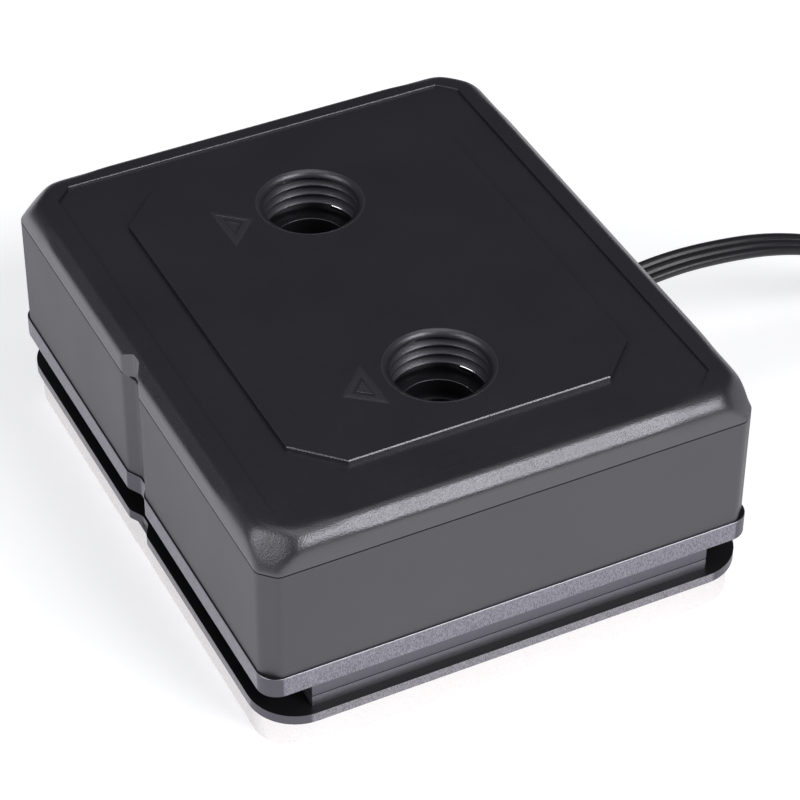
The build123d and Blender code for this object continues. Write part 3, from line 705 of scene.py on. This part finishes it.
middle, mouth, flat, deep = lines["notch"]
notchCorners = [
    (-lid["halfWidth"], middle + mouth / 2), (-lid["halfWidth"] + deep, middle + flat / 2),
    (-lid["halfWidth"] + deep, middle - flat / 2), (-lid["halfWidth"], middle - mouth / 2),
]
blockCorners = cutCorners(lid["halfWidth"], lid["halfLength"], lid["cornerCut"])
cornerRound = lines["cornerRound"]
mouthRound, floorRound = lines["notchRounds"]
blockLoop = roundedLoop(
    blockCorners[:7] + notchCorners + blockCorners[7:],
    [cornerRound] * 7 + [mouthRound, floorRound, floorRound, mouthRound] + [cornerRound],
)
loopStrip("lidSeam", blockLoop, lineProfile(*lines["seamHeight"]), paintedJointShade)

(left, front, _), (right, back, jetTop) = [[c / mm for c in p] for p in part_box("jet_plate")]
plateLoop = roundedLoop([(left, front), (right, front), (right, back), (left, back)], [0] * 4)
jointProfile = lineProfile(jetTop - lines["joint"], jetTop + lines["joint"])
loopStrip("plateJoint", plateLoop, jointProfile, paintedJointShade)

recessLoop = roundedLoop(cutCorners(*lines["recess"]), [0] * 8)
bead = lines["bead"]
loopStrip("recessEdge", recessLoop, [
    (bead, lid["top"] + lines["beadRise"]), (-bead, lid["top"] - 2 * bead), (bead, lid["top"] - 2 * bead),
], lidMetal)
print("seams drawn")

# G1/4 ports: countersunk mouth, thread, and the rim of the bore below, with painted glints on that rim and
# on the thread's run-out
port = {
    "offset": 17.44,  # mm, from the middle of the lid
    "top": 31.55,
    "wallRadius": 6.58,
    "crestRadius": 5.76,
    "mouthDepth": 0.6,
    "pitch": 1.337,
    "threadStart": 0.24,
    "threadDepth": 4.8,
    "threadFoot": 0.57,  # half width of the ridge at the wall
    "threadShoulder": (0.08, 0.14),  # where its crest rounds off: out from it, and along the axis
    "threadFlat": 0.04,  # half width of the crest
    "ridgeTop": 0.03,  # depth at which the ridge begins
    "ridgeGap": 0.02,  # how far it stays behind the mouth's cone
    "overlap": 0.03,  # how far a piece reaches into the wall behind it
    "sharpFrom": 60,  # degrees between faces, from which an edge is crisp
    "stepsPerTurn": 72,
    "boreRadius": 4.6,
    "boreDepth": 6.1,
    "glintLift": 0.01,  # how far the bright stretch stands out of the rim
    "runOutDepth": 4.52,
    "runOutArc": (-8, 38),  # degrees, the stretch given bright metal: a painted glint
    # painted glint on the bore rim: bright metal only over this arc
    "rimArc": (-8, 20),
}


def coneRadius(depth):
    slope = (port["wallRadius"] - port["crestRadius"]) / port["mouthDepth"]
    return port["wallRadius"] - depth * slope


def revolved(name, y, profile, material, arc=(0, 360)):
    steps = port["stepsPerTurn"]
    whole = arc[1] - arc[0] == 360
    rings = steps if whole else steps + 1
    points = []
    for i in range(rings):
        angle = math.radians(arc[0] + (arc[1] - arc[0]) * i / steps)
        for radius, depth in profile:
            points.append((radius * math.cos(angle), y + radius * math.sin(angle), port["top"] - depth))
    faces = quadsBetween(rings, len(profile), closed=whole)
    if not whole:
        faces += endCaps(rings, len(profile))
    meshPiece(name, points, faces, material, "block")


def threadRidge(name, y):
    wall = port["wallRadius"] + port["overlap"]
    crest = port["crestRadius"]
    outward, shoulder = port["threadShoulder"]
    half = [(crest, port["threadFlat"]), (crest + outward, shoulder), (wall, port["threadFoot"])]
    profile = [(radius, -shift) for radius, shift in half[::-1]] + half
    steps = port["stepsPerTurn"]
    turns = (port["threadDepth"] - port["threadStart"]) / port["pitch"]
    rings = int(turns * steps) + 1
    points = []
    for i in range(rings):
        angle = 2 * math.pi * i / steps
        middle = port["threadStart"] + port["pitch"] * i / steps
        for radius, shift in profile:
            depth = min(port["threadDepth"], max(port["ridgeTop"], middle + shift))
            r = min(wall, max(radius, coneRadius(depth) + port["ridgeGap"]))
            points.append((r * math.cos(angle), y + r * math.sin(angle), port["top"] - depth))
    faces = quadsBetween(rings, len(profile)) + endCaps(rings, len(profile))
    ridge = meshPiece(name, points, faces, threadMetal, "block")
    ridge.data.set_sharp_from_angle(angle=math.radians(port["sharpFrom"]))


# sections of the rings in a port: radius, and depth below its top; their outer points sink into the metal
wall, crest, bore = port["wallRadius"], port["crestRadius"], port["boreRadius"]
mouthEnd, boreTop, runOut = port["mouthDepth"], port["boreDepth"], port["runOutDepth"]
mouthProfile = [
    (wall + 0.03, 0.0), (wall - 0.01, 0.005), (crest, mouthEnd),
    (crest + 0.03, mouthEnd + 0.05), (wall + 0.03, mouthEnd + 0.38),
]
rimProfile = [
    (bore + 0.18, boreTop + 0.005), (bore + 0.12, boreTop - 0.08),
    (bore - 0.01, boreTop + 0.04), (bore + 0.01, boreTop + 0.08),
]
runOutProfile = [
    (crest + 0.12, runOut - 0.26), (crest + 0.01, runOut - 0.24),
    (crest - 0.3, runOut + 0.12), (crest + 0.12, runOut + 0.2),
]
# painted highlight: a thin ring of lighter grey metal round the edge of each port's mouth
mouthHighlightProfile = [(wall + 0.12, 0.002), (wall + 0.10, -0.01), (wall + 0.01, -0.01), (wall + 0.01, 0.002)]
glintProfile = [(radius - port["glintLift"], depth - port["glintLift"]) for radius, depth in rimProfile]
for name, y in (("inlet", port["offset"]), ("outlet", -port["offset"])):
    revolved(name + "Mouth", y, mouthProfile, threadMetal)
    threadRidge(name + "Thread", y)
    revolved(name + "BoreRim", y, rimProfile, threadMetal)
    revolved(name + "BoreGlint", y, glintProfile, paintedGlintMetal, port["rimArc"])
    revolved(name + "MouthEdge", y, mouthHighlightProfile, mouthHighlightMetal)
    revolved(name + "RunOut", y, runOutProfile, paintedGlintMetal, port["runOutArc"])
print("port threads cut")

# flow arrows beside the ports, engraved
arrows = {
    "inlet": [(-11.44, 19.89), (-8.37, 17.26), (-11.39, 14.06)],  # mm, the triangle's corners
    "outlet": [(-8.67, -14.51), (-11.84, -17.68), (-8.58, -20.26)],
    "innerScale": 0.42,
    "line": 0.42,  # width of the line
    "lip": 0.06,  # crest of the slope outside it, and how far inward it drops
    "lift": 0.012,  # the line's own height
    "apron": 0.45,  # width of the slope
    "foot": 0.003,  # height at which it starts
}


def triangleRings(name, corners, rings, filled):
    # each ring is the triangle moved inward by a distance, at its own height
    a, b, c = [Vector(p) for p in corners]
    sides = [(b - c).length, (c - a).length, (a - b).length]
    around = sum(sides)
    centre = (a * sides[0] + b * sides[1] + c * sides[2]) / around
    area = abs((b - a).x * (c - a).y - (b - a).y * (c - a).x) / 2
    inner = 2 * area / around
    points = []
    for inward, height in rings:
        for corner in (a, b, c):
            moved = centre + (corner - centre) * (inner - inward) / inner
            points.append((moved.x, moved.y, port["top"] + height))
    faces = quadsBetween(len(rings), 3, closed=not filled)
    if filled:
        faces += endCaps(len(rings), 3)
    meshPiece(name, points, faces, bodyMetal, "block", smooth=False)


lift, lip, line = arrows["lift"], arrows["lip"], arrows["line"]
outerRings = [(-arrows["apron"], arrows["foot"]), (0, lip), (lip, lift), (line, lift), (line, 0)]
heartRings = [(-lip, arrows["foot"]), (0, lip), (line, lift)]
for name in ("inlet", "outlet"):
    corners = arrows[name]
    middle = sum((Vector(c) for c in corners), Vector((0, 0))) / 3
    small = [tuple(middle + (Vector(c) - middle) * arrows["innerScale"]) for c in corners]
    triangleRings(name + "Arrow", corners, outerRings, filled=False)
    triangleRings(name + "ArrowHeart", small, heartRings, filled=True)
print("arrows engraved")

# floor, world and lamps: a pale sweep under soft boxes
light = {
    "worldColour": "#8b8d96",
    "worldStrength": 0.36,
    "floorColour": "#f5f5f7",  # paper
    "floorRoughness": 0.9,
    "floorShine": 0.1,
    "floorGlow": 0.46,
    "floorReach": 4000,  # mm each way
    "floorDrop": 0.05,  # below the object's foot, so that the two don't flicker
    "aimHeight": 15,
    "key": {"place": (330, -690, 650), "size": (520, 380), "power": 5.7},
    "left": {"place": (-810, -100, 570), "size": (680, 340), "power": 3.05},
    "top": {"place": (0, -40, 900), "size": (520, 520), "power": 1.4},
}

# matt paper gives an even tone; it glows only for the camera and in reflections, so shadows stay on it
floorMaterial, tree, shader = newMaterial("Paper sweep, matt white")
shader.inputs["Base Color"].default_value = toLinear(light["floorColour"])
shader.inputs["Roughness"].default_value = light["floorRoughness"]
shader.inputs["Specular IOR Level"].default_value = light["floorShine"]
ray = addNode(tree, "ShaderNodeLightPath").outputs
seenPlain = addNode(tree, "ShaderNodeMath", {
    0: ray["Is Camera Ray"], 1: ray["Is Glossy Ray"],
}, operation="MAXIMUM")
seen = addNode(tree, "ShaderNodeMath", {
    0: seenPlain.outputs[0], 1: ray["Is Transmission Ray"],
}, operation="MAXIMUM")
glow = addNode(tree, "ShaderNodeMath", {0: seen.outputs[0], 1: light["floorGlow"]}, operation="MULTIPLY")
shader.inputs["Emission Color"].default_value = (1, 1, 1, 1)
tree.links.new(glow.outputs[0], shader.inputs["Emission Strength"])
reach, drop = light["floorReach"] * mm, light["floorDrop"] * mm
floorCorners = [(x * reach, y * reach, -drop) for x, y in ((-1, -1), (1, -1), (1, 1), (-1, 1))]
floorMesh = bpy.data.meshes.new("studioFloor")
floorMesh.from_pydata(floorCorners, [], [(0, 1, 2, 3)])
floor = bpy.data.objects.new("studioFloor", floorMesh)
bpy.context.scene.collection.objects.link(floor)
assign(floor, floorMaterial)

world = bpy.data.worlds.new("studio")
world.use_nodes = True
background = world.node_tree.nodes["Background"]
background.inputs["Color"].default_value = toLinear(light["worldColour"])
background.inputs["Strength"].default_value = light["worldStrength"]
bpy.context.scene.world = world


def softbox(name, lamp):
    data = bpy.data.lights.new(name, "AREA")
    data.shape = "RECTANGLE"
    data.size, data.size_y = [s * mm for s in lamp["size"]]
    data.energy = lamp["power"]
    holder = bpy.data.objects.new(name, data)
    holder.location = Vector(lamp["place"]) * mm
    toObject = Vector((0, 0, light["aimHeight"])) * mm - holder.location
    holder.rotation_euler = toObject.to_track_quat("-Z", "Y").to_euler()
    bpy.context.scene.collection.objects.link(holder)


for name in ("key", "left", "top"):
    softbox(name + "Softbox", light[name])
print("stage lit")
